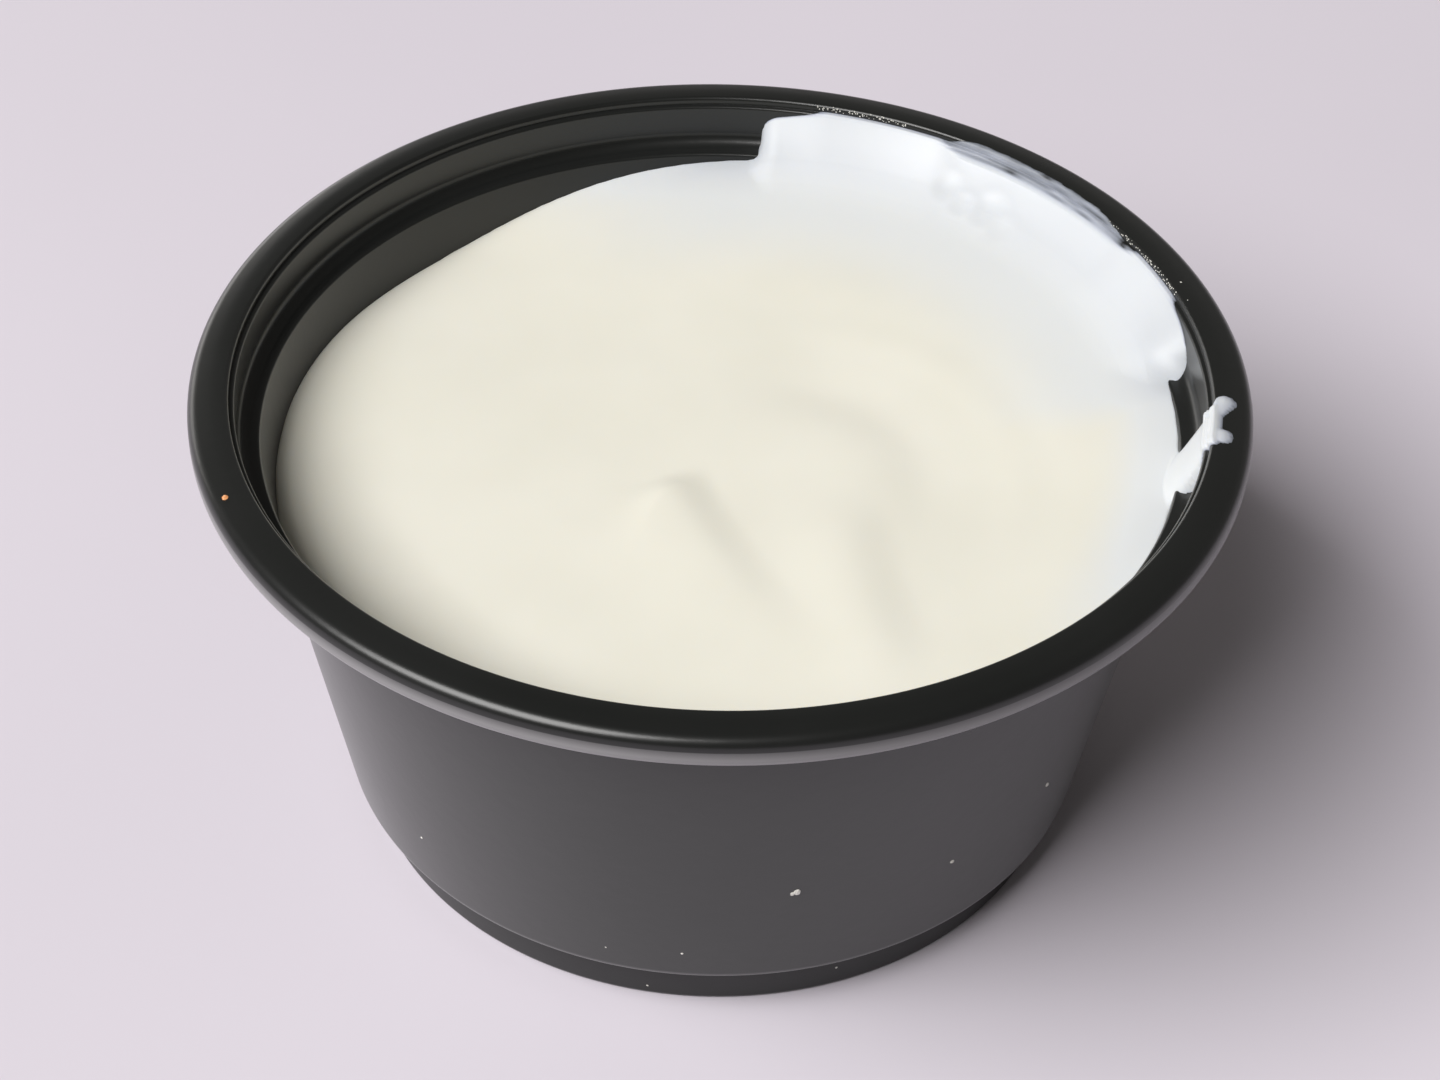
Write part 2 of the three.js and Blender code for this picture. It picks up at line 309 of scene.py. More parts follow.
def soft_noise(x, y, cell, seed):
    """Smooth seeded noise from -1 to 1 over cells of the given size."""
    lattice = np.random.RandomState(seed).uniform(-1.0, 1.0, (128, 128))
    u, v = np.asarray(x) / cell, np.asarray(y) / cell
    i, j = np.floor(u).astype(int), np.floor(v).astype(int)
    fu, fv = smooth(u - i, 0.0, 1.0), smooth(v - j, 0.0, 1.0)
    i, j = i % 127, j % 127
    low = lattice[i, j] * (1 - fu) + lattice[i + 1, j] * fu
    high = lattice[i, j + 1] * (1 - fu) + lattice[i + 1, j + 1] * fu
    return low * (1 - fv) + high * fv


def add_piece(name, mesh, body="root"):
    """Links a finished mesh as a piece of the object on its body."""
    piece = bpy.data.objects.new(name, mesh)
    bpy.context.scene.collection.objects.link(piece)
    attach(piece, body)
    return piece


# Node helpers.

class Tree:
    """A node tree under construction."""

    def __init__(self, tree):
        self.tree = tree

    def node(self, kind, **settings):
        made = self.tree.nodes.new(kind)
        for key, value in settings.items():
            setattr(made, key, value)
        return made

    def link(self, source, target):
        self.tree.links.new(source, target)

    def socket(self, name, kind, way="INPUT"):
        return self.tree.interface.new_socket(name, in_out=way, socket_type=kind).identifier


def new_material(name):
    material = bpy.data.materials.new(name)
    material.use_nodes = True
    tree = Tree(material.node_tree)
    return material, tree, material.node_tree.nodes["Principled BSDF"]


def noise_bump(tree, shader, scale, strength, distance):
    """Fine relief on a surface from noise on Object coordinates; gives those coordinates back."""
    place = tree.node("ShaderNodeTexCoord")
    noise = tree.node("ShaderNodeTexNoise")
    noise.inputs["Scale"].default_value = scale
    noise.inputs["Detail"].default_value = 3.0
    bump = tree.node("ShaderNodeBump")
    bump.inputs["Strength"].default_value = strength
    bump.inputs["Distance"].default_value = distance
    tree.link(place.outputs["Object"], noise.inputs["Vector"])
    tree.link(noise.outputs["Fac"], bump.inputs["Height"])
    tree.link(bump.outputs["Normal"], shader.inputs["Normal"])
    return place


def ramp_between(tree, source, stops):
    """A colour ramp over (position, colour) stops, fed by source."""
    ramp = tree.node("ShaderNodeValToRGB")
    elements = ramp.color_ramp.elements
    while len(elements) < len(stops):
        elements.new(0.5)
    for element, (position, colour) in zip(elements, stops):
        element.position = position
        element.color = (*colour, 1.0)
    tree.link(source, ramp.inputs["Fac"])
    return ramp


def clouds(tree, place, scale, detail=2.0):
    """Soft clouds on Object coordinates, from 0 to 1."""
    cloud = tree.node("ShaderNodeTexNoise")
    cloud.inputs["Scale"].default_value = scale
    cloud.inputs["Detail"].default_value = detail
    tree.link(place.outputs["Object"], cloud.inputs["Vector"])
    return cloud.outputs["Fac"]


# Materials.

def clouded_material(name, roughness, relief, cloud_scale, dark, light):
    """A plain material with fine relief, whose tone wanders between two colours."""
    material, tree, shader = new_material(name)
    shader.inputs["Roughness"].default_value = roughness
    place = noise_bump(tree, shader, *relief)
    tone = ramp_between(tree, clouds(tree, place, cloud_scale), ((0.3, dark), (0.7, light)))
    tree.link(tone.outputs["Color"], shader.inputs["Base Color"])
    return material


def black_plastic():
    """Black moulded plastic: darker on rim, ledge and foot; a lighter, hazy tone on the outer wall that
    paints its sheen and leaves the recessed foot darker as painted shade; pale painted highlights on the
    rim's lower edge and the foot's step.
    """
    material, tree, shader = new_material("black_plastic")
    shader.inputs["IOR"].default_value = 1.52
    shader.inputs["Sheen Weight"].default_value = 0.08
    place = noise_bump(tree, shader, scale=900.0, strength=0.08, distance=0.1 * MM)
    cloud = clouds(tree, place, 70.0, detail=4.0)
    # The outer wall is given a lighter tone than rim, ledge and foot: painted sheen on the wall, and the
    # recessed foot's darker tone is painted shade.
    dark_tone = ramp_between(tree, cloud, (
        (0.35, (0.0060, 0.0067, 0.0062)),
        (0.65, (0.0080, 0.0087, 0.0082)),
    ))
    painted_sheen_tone = ramp_between(tree, cloud, (
        (0.35, (0.0100, 0.0115, 0.0105)),
        (0.65, (0.0140, 0.0155, 0.0145)),
    ))
    satin = tree.node("ShaderNodeAttribute", attribute_name="satin")
    tone = tree.node("ShaderNodeMix", data_type="RGBA")
    tree.link(satin.outputs["Fac"], tone.inputs["Factor"])
    tree.link(dark_tone.outputs["Color"], tone.inputs["A"])
    tree.link(painted_sheen_tone.outputs["Color"], tone.inputs["B"])
    # Painted highlight: a pale colour on the rim's lower edge and the foot's step, stronger on the left
    # where the light falls.
    worn = tree.node("ShaderNodeAttribute", attribute_name="worn")
    sides = tree.node("ShaderNodeSeparateXYZ")
    fade = tree.node("ShaderNodeMapRange")
    fade.inputs["From Min"].default_value = HIGHLIGHT_FADE_FROM * MM
    fade.inputs["From Max"].default_value = HIGHLIGHT_FADE_TO * MM
    fade.inputs["To Min"].default_value = HIGHLIGHT_LEFT
    fade.inputs["To Max"].default_value = HIGHLIGHT_RIGHT
    share = tree.node("ShaderNodeMath", operation="MULTIPLY")
    tree.link(place.outputs["Object"], sides.inputs["Vector"])
    tree.link(sides.outputs["X"], fade.inputs["Value"])
    tree.link(worn.outputs["Fac"], share.inputs[0])
    tree.link(fade.outputs["Result"], share.inputs[1])
    edge = tree.node("ShaderNodeMix", data_type="RGBA")
    edge.inputs["B"].default_value = (0.230, 0.227, 0.230, 1.0)
    tree.link(share.outputs["Value"], edge.inputs["Factor"])
    tree.link(tone.outputs["Result"], edge.inputs["A"])
    tree.link(edge.outputs["Result"], shader.inputs["Base Color"])
    gloss = tree.node("ShaderNodeMapRange")
    gloss.inputs["To Min"].default_value = 0.25
    gloss.inputs["To Max"].default_value = 0.33
    tree.link(cloud, gloss.inputs["Value"])
    tree.link(gloss.outputs["Result"], shader.inputs["Roughness"])
    return material


def garlic_sauce():
    """Thick cream sauce: cooler and darker where it climbs the wall, a bluish tint with painted shade where
    the climbs face the light, grey where it thins out over the plastic.
    """
    material, tree, shader = new_material("garlic_sauce")
    shader.inputs["Roughness"].default_value = 0.40
    shader.inputs["IOR"].default_value = 1.42
    shader.inputs["Subsurface Weight"].default_value = 0.25
    shader.inputs["Subsurface Radius"].default_value = (1.0, 0.85, 0.65)
    shader.inputs["Subsurface Scale"].default_value = 1.2 * MM
    place = noise_bump(tree, shader, scale=420.0, strength=0.05, distance=0.2 * MM)
    cream = ramp_between(tree, clouds(tree, place, 110.0), (
        (0.3, (0.745, 0.731, 0.641)),
        (0.7, (0.775, 0.761, 0.676)),
    ))
    cool = tree.node("ShaderNodeAttribute", attribute_name="cool")
    cool_and_shade_mix = tree.node("ShaderNodeMapRange")
    cool_and_shade_mix.inputs["From Max"].default_value = 0.36
    tree.link(cool.outputs["Fac"], cool_and_shade_mix.inputs["Value"])
    # Painted shade: the cool tone darkens as well as cools, standing in for shade on the climbs that face
    # the light.
    cool_and_shaded_tone = ramp_between(tree, cool.outputs["Fac"], (
        (0.36, (0.715, 0.735, 0.735)),
        (0.80, (0.625, 0.650, 0.680)),
        (1.00, (0.555, 0.580, 0.610)),
    ))
    body = tree.node("ShaderNodeMix", data_type="RGBA")
    tree.link(cool_and_shade_mix.outputs["Result"], body.inputs["Factor"])
    tree.link(cream.outputs["Color"], body.inputs["A"])
    tree.link(cool_and_shaded_tone.outputs["Color"], body.inputs["B"])
    depth = tree.node("ShaderNodeAttribute", attribute_name="depth")
    thin = ramp_between(tree, depth.outputs["Fac"], (
        (0.000, (0.020, 0.021, 0.023)),
        (0.025, (0.190, 0.205, 0.235)),
        (0.080, (0.420, 0.445, 0.520)),
    ))
    cover = ramp_between(tree, depth.outputs["Fac"], (
        (0.05, (0.0, 0.0, 0.0)),
        (0.16, (1.0, 1.0, 1.0)),
    ))
    seen = tree.node("ShaderNodeMix", data_type="RGBA")
    tree.link(cover.outputs["Color"], seen.inputs["Factor"])
    tree.link(thin.outputs["Color"], seen.inputs["A"])
    tree.link(body.outputs["Result"], seen.inputs["B"])
    tree.link(seen.outputs["Result"], shader.inputs["Base Color"])
    return material


def dried_sauce():
    """Dried specks of sauce, pale and a little yellow."""
    return clouded_material(
        "dried_sauce", roughness=0.55, relief=(2500.0, 0.3, 0.1 * MM), cloud_scale=1500.0,
        dark=(0.58, 0.57, 0.52), light=(0.84, 0.83, 0.78),
    )


def orange_fleck():
    """The orange fleck on the rim."""
    return clouded_material(
        "orange_fleck", roughness=0.4, relief=(2500.0, 0.3, 0.1 * MM), cloud_scale=2200.0,
        dark=(0.55, 0.14, 0.02), light=(0.95, 0.48, 0.22),
    )


def pale_table():
    """The pale table top, slightly clouded."""
    return clouded_material(
        "pale_table", roughness=0.6, relief=(60.0, 0.03, 1.0 * MM), cloud_scale=9.0,
        dark=(0.655, 0.612, 0.68), light=(0.705, 0.662, 0.73),
    )


# Tub.

def wall_radius(z):
    """Outer radius of the sloping wall at a height."""
    return FOOT_RADIUS + FOOT_STEP + WALL_SLOPE * (z - FOOT_HEIGHT)


def rim_top(radius):
    """Height of the rim's top, which falls off towards its outer edge."""
    share = (radius - RIM_RADIUS) / RIM_CROWN_WIDTH + 1.0
    return HEIGHT - RIM_CROWN_DROP * max(share, 0.0)


def inside_corners():
    """Corners of the section from the floor's middle to the rim's top edge: radius, height, rounding."""
    inner_step = FOOT_HEIGHT + WALL_THICKNESS
    return [
        (0.0, FLOOR_THICKNESS, 0.0),
        (FOOT_RADIUS - WALL_THICKNESS, FLOOR_THICKNESS, FLOOR_ROUND),
        (FOOT_RADIUS - WALL_THICKNESS, inner_step, INNER_STEP_ROUND),
        (wall_radius(inner_step) - WALL_THICKNESS, inner_step, INNER_STEP_ROUND),
        (LEDGE_INNER_RADIUS, LEDGE_TOP, LEDGE_EDGE_ROUND),
        (UPPER_WALL_RADIUS, LEDGE_TOP, LEDGE_CORNER_ROUND),
        (UPPER_WALL_RADIUS, LIP_FOOT, UPPER_WALL_ROUND),
        (LIP_RADIUS, LIP_FOOT, LIP_FOOT_ROUND),
        (LIP_RADIUS, HEIGHT, LIP_ROUND),
        (RIM_RADIUS - RIM_CROWN_WIDTH, HEIGHT, RIM_CROWN_ROUND),
        (RIM_RADIUS, HEIGHT - RIM_CROWN_DROP, RIM_TOP_ROUND),
    ]


def outside_corners():
    """Corners of the section from the rim's skirt down the outside to the middle of the underside."""
    shoulder = UPPER_WALL_RADIUS + UPPER_WALL_THICKNESS
    shoulder_foot = LEDGE_TOP - WALL_THICKNESS
    skirt_inner = RIM_RADIUS - RIM_SKIRT_THICKNESS
    channel_top = HEIGHT - RIM_TOP_THICKNESS
    return [
        # Top of the painted highlight's band on the skirt.
        (RIM_RADIUS, RIM_UNDERSIDE + PAINTED_HIGHLIGHT_REACH, 0.0),
        (RIM_RADIUS, RIM_UNDERSIDE, SKIRT_ROUND),
        (skirt_inner, RIM_UNDERSIDE, SKIRT_INNER_ROUND),
        (skirt_inner, channel_top, CHANNEL_ROUND),
        (shoulder, channel_top, CHANNEL_ROUND),
        (shoulder, shoulder_foot, SHOULDER_ROUND),
        (wall_radius(shoulder_foot), shoulder_foot, SHOULDER_FOOT_ROUND),
        (wall_radius(FOOT_HEIGHT + STEP_EDGE), FOOT_HEIGHT + STEP_EDGE, 0.0),
        (wall_radius(FOOT_HEIGHT), FOOT_HEIGHT, STEP_EDGE_ROUND),
        (FOOT_RADIUS, FOOT_HEIGHT, FOOT_TOP_ROUND),
        (FOOT_RADIUS, 0.0, FOOT_ROUND),
        (0.0, 0.0, 0.0),
    ]


def turned_tree(finish):
    """Geometry Nodes that round a section's corners and turn it about the upright axis."""
    tree = Tree(bpy.data.node_groups.new("turned_tub", "GeometryNodeTree"))
    tree.socket("Section", "NodeSocketGeometry")
    inputs = {
        "Turn Steps": tree.socket("Turn Steps", "NodeSocketInt"),
        "Round Steps": tree.socket("Round Steps", "NodeSocketInt"),
        "Core Radius": tree.socket("Core Radius", "NodeSocketFloat"),
    }
    tree.socket("Tub", "NodeSocketGeometry", "OUTPUT")
    given = tree.node("NodeGroupInput")
    line = tree.node("GeometryNodeMeshToCurve")
    rounding = tree.node("GeometryNodeInputNamedAttribute", data_type="FLOAT")
    rounding.inputs["Name"].default_value = "rounding"
    fillet = tree.node("GeometryNodeFilletCurve", mode="POLY")
    fillet.inputs["Limit Radius"].default_value = True
    ring = tree.node("GeometryNodeCurvePrimitiveCircle")
    turn = tree.node("GeometryNodeCurveToMesh")
    weld = tree.node("GeometryNodeMergeByDistance")
    weld.inputs["Distance"].default_value = WELD_DISTANCE * MM
    smooth_faces = tree.node("GeometryNodeSetShadeSmooth")
    realize = tree.node("GeometryNodeRealizeInstances")
    coat = tree.node("GeometryNodeSetMaterial")
    coat.inputs["Material"].default_value = finish
    done = tree.node("NodeGroupOutput")
    tree.link(given.outputs["Section"], line.inputs["Mesh"])
    tree.link(line.outputs["Curve"], fillet.inputs["Curve"])
    tree.link(given.outputs["Round Steps"], fillet.inputs["Count"])
    tree.link(rounding.outputs["Attribute"], fillet.inputs["Radius"])
    tree.link(given.outputs["Turn Steps"], ring.inputs["Resolution"])
    tree.link(given.outputs["Core Radius"], ring.inputs["Radius"])
    tree.link(ring.outputs["Curve"], turn.inputs["Curve"])
    tree.link(fillet.outputs["Curve"], turn.inputs["Profile Curve"])
    tree.link(turn.outputs["Mesh"], weld.inputs["Geometry"])
    tree.link(weld.outputs["Geometry"], smooth_faces.inputs["Geometry"])
    tree.link(smooth_faces.outputs["Geometry"], realize.inputs["Geometry"])
    tree.link(realize.outputs["Geometry"], coat.inputs["Geometry"])
    tree.link(coat.outputs["Geometry"], done.inputs["Tub"])
    return tree.tree, inputs


def grown_mesh(name, base, tree, values, weighted=False):
    """Runs a node tree on a base mesh and gives the result as a plain mesh."""
    carrier = bpy.data.objects.new(name + "_base", base)
    bpy.context.scene.collection.objects.link(carrier)
    modifier = carrier.modifiers.new("grow", "NODES")
    modifier.node_group = tree
    for identifier, value in values:
        modifier[identifier] = value
    if weighted:
        even = carrier.modifiers.new("even_normals", "WEIGHTED_NORMAL")
        even.keep_sharp = True
    seen = carrier.evaluated_get(bpy.context.evaluated_depsgraph_get())
    mesh = bpy.data.meshes.new_from_object(seen)
    mesh.name = name
    carrier.modifiers.clear()
    bpy.data.objects.remove(carrier)
    return mesh


def tub_section():
    """The section as a line of corners, each with its rounding, ready to be turned."""
    corners = inside_corners() + outside_corners()
    mesh = bpy.data.meshes.new("tub_section")
    points = [((r - TURN_CORE) * MM, -z * MM, 0.0) for r, z, _ in corners]
    mesh.from_pydata(points, [(i, i + 1) for i in range(len(points) - 1)], [])
    rounding = mesh.attributes.new("rounding", "FLOAT", "POINT")
    rounding.data.foreach_set("value", [c[2] * MM for c in corners])
    wall_heights = (FOOT_HEIGHT, FOOT_HEIGHT + STEP_EDGE, LEDGE_TOP - WALL_THICKNESS)
    wall_corners = [wall_radius(z) for z in wall_heights]
    # Painted sheen: the sloping wall's corners take the lighter tone; the recessed foot keeps the darker
    # one as painted shade.
    satin = mesh.attributes.new("satin", "FLOAT", "POINT")
    satin.data.foreach_set("value", [1.0 if c[0] in wall_corners else 0.0 for c in corners])
    # Painted highlight: pale colour on the rim's lower edge, the skirt above it and the foot's step, in
    # place of the table's reflection.
    highlight_corners = {
        (RIM_RADIUS, RIM_UNDERSIDE): PAINTED_HIGHLIGHT_RIM_EDGE,
        (RIM_RADIUS, RIM_UNDERSIDE + PAINTED_HIGHLIGHT_REACH): PAINTED_HIGHLIGHT_SKIRT,
        (wall_radius(FOOT_HEIGHT), FOOT_HEIGHT): PAINTED_HIGHLIGHT_STEP,
    }
    worn = mesh.attributes.new("worn", "FLOAT", "POINT")
    worn.data.foreach_set("value", [highlight_corners.get(c[:2], 0.0) for c in corners])
    return mesh


def make_tub(finish):
    tree, inputs = turned_tree(finish)
    mesh = grown_mesh("moulded_tub", tub_section(), tree, (
        (inputs["Turn Steps"], TURN_STEPS),
        (inputs["Round Steps"], ROUND_STEPS),
        (inputs["Core Radius"], TURN_CORE * MM),
    ), weighted=True)
    tub = add_piece("moulded_tub", mesh)
    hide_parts("tub")


def inside_line():
    """The tub's inner face as a fine line of (radius, height) points with its corners rounded."""
    corners = inside_corners()
    points = [np.array(corners[0][:2])]
    for before, corner, after in zip(corners, corners[1:], corners[2:]):
        here = np.array(corner[:2])
        back, ahead = np.array(before[:2]) - here, np.array(after[:2]) - here
        back, ahead = back / np.linalg.norm(back), ahead / np.linalg.norm(ahead)
        half = math.acos(np.clip(back @ ahead, -1, 1)) / 2
        reach = corner[2] / math.tan(half)
        middle = here + (back + ahead) / np.linalg.norm(back + ahead) * corner[2] / math.sin(half)
        start, end = here + back * reach - middle, here + ahead * reach - middle
        for step in np.linspace(0.0, 1.0, LINE_ROUND_STEPS):
            spoke = start * (1 - step) + end * step
            points.append(middle + spoke / max(np.linalg.norm(spoke), 1e-9) * corner[2])
    points.append(np.array(corners[-1][:2]))
    return np.array(points)


# Sauce.

def ridge(v, rear_width, fall):
    """A ridge across an offset: gentle on its rear side, steep on its falling side."""
    rear = np.exp(-((np.minimum(v, 0.0) / rear_width) ** 2))
    front = 0.5 * (1.0 + np.cos(np.pi * np.clip(v / fall, 0.0, 1.0)))
    return np.where(v < 0.0, rear, front)


def folded_crest(x, y):
    """Height of the crest and of the lower fold beside it."""
    dx, dy = x - CREST_TIP[0], y - CREST_TIP[1]
    along = dx * math.cos(CREST_HEADING) + dy * math.sin(CREST_HEADING)
    across = dy * math.cos(CREST_HEADING) - dx * math.sin(CREST_HEADING)
    bent = across - CREST_OFFSET - CREST_BEND * np.maximum(along, 0.0) ** 2
    start = CREST_START + (CREST_REAR_START - CREST_START) * (1.0 - smooth(bent, *CREST_REAR_SPAN))
    fade = np.exp(-np.maximum(along - CREST_START, 0.0) / CREST_FADE) * (1.0 - smooth(along, *CREST_END))
    crest_share = smooth(along / start, 0.0, 1.0) * fade
    crest = CREST_HEIGHT * crest_share * ridge(bent, CREST_REAR_WIDTH, CREST_FALL)
    fold_share = smooth(along, FOLD_START, FOLD_FULL) * (1.0 - smooth(along, *FOLD_END))
    fold_across = across - FOLD_OFFSET - FOLD_DRIFT * along
    return crest + FOLD_HEIGHT * fold_share * ridge(fold_across, FOLD_REAR_WIDTH, FOLD_FALL)


def swirl_grooves(x, y):
    """Depth of the swirl's grooves, fading towards both ends of their arcs."""
    dx, dy = x - SWIRL_CENTRE[0], y - SWIRL_CENTRE[1]
    turn = np.abs(np.arctan2(dy, dx) - SWIRL_MIDDLE)
    share = 1.0 - smooth(np.minimum(turn, 2 * np.pi - turn), SWIRL_FULL_HALF_SPAN, SWIRL_HALF_SPAN)
    reach = np.hypot(dx, dy)
    depth = 0.0
    for ring, deep, inner, outer in SWIRL_RINGS:
        depth = depth + deep * np.exp(-(((reach - ring) / np.where(reach < ring, inner, outer)) ** 2))
    return share * depth


def bubble_marks(radius, turn):
    """Depth of the bubbles' marks on the climb, each with a faint raised edge."""
    depth = 0.0
    for at_turn, at_radius, width, deep in BUBBLE_MARKS:
        away = np.hypot(radius - at_radius, np.radians(turn - at_turn) * at_radius) / width
        raised = np.exp(-(((away - BUBBLE_EDGE_PLACE) / BUBBLE_EDGE_WIDTH) ** 2))
        depth = depth + deep * (np.exp(-(away ** 2)) - BUBBLE_EDGE * raised)
    return depth


def level_height(radius, turn):
    """Height of the sauce's open surface; turn is in degrees from +X towards +Y."""
    angle = np.radians(turn)
    x, y = radius * np.cos(angle), radius * np.sin(angle)
    level = SAUCE_LEVEL + SAUCE_TILT[0] * x + SAUCE_TILT[1] * y
    hollow = np.exp(-(((turn - HOLLOW_TURN) / HOLLOW_WIDTH) ** 2)) * (radius / HOLLOW_REACH) ** HOLLOW_BEND
    worked = level - HOLLOW_DEPTH * hollow + folded_crest(x, y) - swirl_grooves(x, y)
    return worked + UNEVEN_HEIGHT * soft_noise(x + UNEVEN_SHIFT, y + UNEVEN_SHIFT, UNEVEN_CELL, UNEVEN_SEED)


def sauce_gap(radius, turn, z):
    """Clearance of a place over the sauce, below zero inside it: open surface and climbs joined."""
    level = level_height(radius, turn)
    gap = z - level
    for climb in CLIMBS:
        outward = np.clip((radius - climb["foot"]) / (UPPER_WALL_RADIUS - climb["foot"]), 0.0, 1.0)
        inwards = np.maximum(UPPER_WALL_RADIUS - radius, 0.0)
        past_start = climb["start"] + climb["start_shift"] * inwards - turn
        past_end = turn - climb["end"] - climb["end_shift"] * inwards
        past = np.maximum(past_start, past_end)
        rounding = np.where(past_start > past_end, climb["start_round"], climb["end_round"])
        wiped = STREAKED_DROP * between(turn, *STREAKED_WINDOW)
        drop = wiped + climb["end_drop"] * smooth(past, -CLIMB_END_REACH, 0.0)
        rise = (climb["top"] - drop - level) * outward ** climb["bend"] - bubble_marks(radius, turn)
        climbing = soft_max(gap - rise, past * np.radians(radius), rounding)
        blend = CLIMB_BLEND_LEAST + CLIMB_BLEND * np.minimum(CLIMB_BLEND_RISE * outward, 1.0)
        gap = soft_min(gap, climbing, blend)
    return gap


def layer(reach, depth, edge):
    """Thickness of a film with a rounded edge; reach is how far inside its outline a place lies."""
    inside = np.clip(reach / edge, 0.0, 1.0)
    domed = depth * np.sqrt(1.0 - (1.0 - inside) ** 2)
    return np.where(reach > 0.0, domed, np.maximum(reach, -1.0) * SINK_SLOPE)


def finger(run, turn, start, end, radius):
    """Reach inside a round-ended finger of sauce between two places, each a run and a turn."""
    arc = turn * MM_PER_DEGREE
    start = np.array((start[0], start[1] * MM_PER_DEGREE))
    end = np.array((end[0], end[1] * MM_PER_DEGREE))
    way = end - start
    share = np.clip(((run - start[0]) * way[0] + (arc - start[1]) * way[1]) / (way @ way), 0.0, 1.0)
    return radius - np.hypot(run - start[0] - share * way[0], arc - start[1] - share * way[1])


def between_turns(turn, start, end, blend):
    """Reach inside a stretch between two turns in degrees, in millimetres."""
    return soft_min((end - turn) * MM_PER_DEGREE, (turn - start) * MM_PER_DEGREE, blend)


def streaked_layer(run, turn):
    """The film over the top of the wall and the lip at the back right, wiped to sheer streaks."""
    arc = turn * MM_PER_DEGREE
    off_middle = (turn - STREAKED_MIDDLE) / STREAKED_HALF_WIDTH
    top = STREAKED_TOP + STREAKED_TOP_RISE * np.exp(-(off_middle ** STREAKED_SQUARENESS))
    for height, shift, cell, seed in STREAKED_RAGGED:
        top = top + height * soft_noise(arc + STREAKED_RAGGED_SHIFT, run + shift, cell, seed)
    ends = between_turns(turn, STREAKED_START, STREAKED_END, STREAKED_END_BLEND)
    along, across = arc * STREAK_ALONG + STREAK_SHIFT, run * STREAK_ACROSS + STREAK_SHIFT
    streaks = 0.5 + 0.5 * soft_noise(along, across, STREAK_CELL, STREAK_SEED)
    depth = STREAKED_DEPTH - (WIPED_DEPTH - STREAK_DEPTH * streaks) * smooth(run, *WIPED_RUNS)
    return layer(soft_min(ends, top - run, STREAKED_CORNER_BLEND), depth, STREAKED_EDGE)


def smear_layer(run, turn):
    """The end of the smear: over the lip below its tongue, with two fingers on the rim."""
    sides = between_turns(turn, SMEAR_START, SMEAR_END, SMEAR_BLEND)
    over_lip = soft_min(sides, np.minimum(SMEAR_HIGH - run, run - SMEAR_LOW), SMEAR_BLEND)
    fingers = np.maximum(*[finger(run, turn, *ends) for ends in FINGERS])
    return np.maximum(layer(over_lip, SMEAR_DEPTH, SMEAR_EDGE), layer(fingers, FINGER_DEPTH, FINGER_EDGE))


def film_thickness(run, turn):
    """Thickness of the sauce smeared over the plastic, below zero where there is none.

    run is the way along the plastic from the ledge's inner edge: ledge, upright wall, lip, rim top.
    """
    return np.maximum(streaked_layer(run, turn), smear_layer(run, turn))


def fan_on_plastic(line, slopes):
    """Where each line of the fan meets the plastic: distance, cosine to the face, run along the face."""
    tiny, far_off = 1e-9, 1e9
    start, end = line[:-1], line[1:]
    side = end - start
    gap = start - np.array([FAN_RADIUS, FAN_HEIGHT])
    lengths = np.linalg.norm(side, axis=1)
    runs = np.concatenate([[0.0], np.cumsum(lengths)[:-1]])
    ledge = int(np.argmin(np.abs(line[:, 0] - LEDGE_INNER_RADIUS) + np.abs(line[:, 1] - LEDGE_TOP)))
    runs = runs - runs[ledge]
    found = []
    for slope in slopes:
        way = np.array([math.cos(slope), math.sin(slope)])
        cross = way[0] * side[:, 1] - way[1] * side[:, 0]
        cross = np.where(np.abs(cross) < tiny, tiny, cross)
        distance = (gap[:, 0] * side[:, 1] - gap[:, 1] * side[:, 0]) / cross
        share = (gap[:, 0] * way[1] - gap[:, 1] * way[0]) / cross
        hit = (share >= -tiny) & (share <= 1 + tiny) & (distance > 0)
        first = int(np.argmin(np.where(hit, distance, far_off)))
        face = np.abs(cross[first]) / lengths[first]
        reached = runs[first] + share[first] * lengths[first]
        found.append((distance[first], max(face, LEAST_FACING), reached))
    return np.array(found).T


def down_to_sauce(radii, slopes, turns):
    """Distance along lines from the fan's height to the sauce, by halving."""
    radius, slope, turn = radii[:, None], slopes[:, None], turns[None, :]
    near = np.zeros((len(slopes), len(turns)))
    far = np.full_like(near, FAN_REACH)
    for _ in range(HALVINGS):
        middle = (near + far) / 2
        gap = sauce_gap(radius + middle * np.cos(slope), turn, FAN_HEIGHT + middle * np.sin(slope))
        near, far = np.where(gap > 0, middle, near), np.where(gap > 0, far, middle)
    return (near + far) / 2


def sauce_columns():
    """Angles of the columns round the tub, in degrees."""
    return np.concatenate([np.arange(a, b, step) for a, b, step in COLUMN_BANDS])


def cool_and_shade_amount(radius, turns, depth):
    """How cool and dark the sauce is painted at places round the tub, from 0 to about 1: a bluish tint with
    painted shade on the climbs.
    """
    facing = (turns + 180.0) % 360.0 - 180.0
    cooled_and_shaded = 0.0
    for much, window, steps in COOL_AND_SHADE_ZONES:
        outward = sum(share * smooth(radius, low, high) for share, low, high in steps)
        cooled_and_shaded = np.maximum(cooled_and_shaded, much * between(facing, *window) * outward)
    ends = sum(between(facing, *window) for window in SHADED_END_WINDOWS)
    cooled_and_shaded = cooled_and_shaded + SHADED_END_SHARE * ends * smooth(radius, *SHADED_END_RADII)
    return np.maximum(cooled_and_shaded, COOL_THIN_SHARE * (1.0 - smooth(depth, *COOL_THIN_DEPTHS)))


def turned_points(radius, turns, z):
    """Points at radii and heights, ring by ring, round the tub."""
    angle = np.radians(turns)
    return np.stack(np.broadcast_arrays(radius * np.cos(angle), radius * np.sin(angle), z), -1)


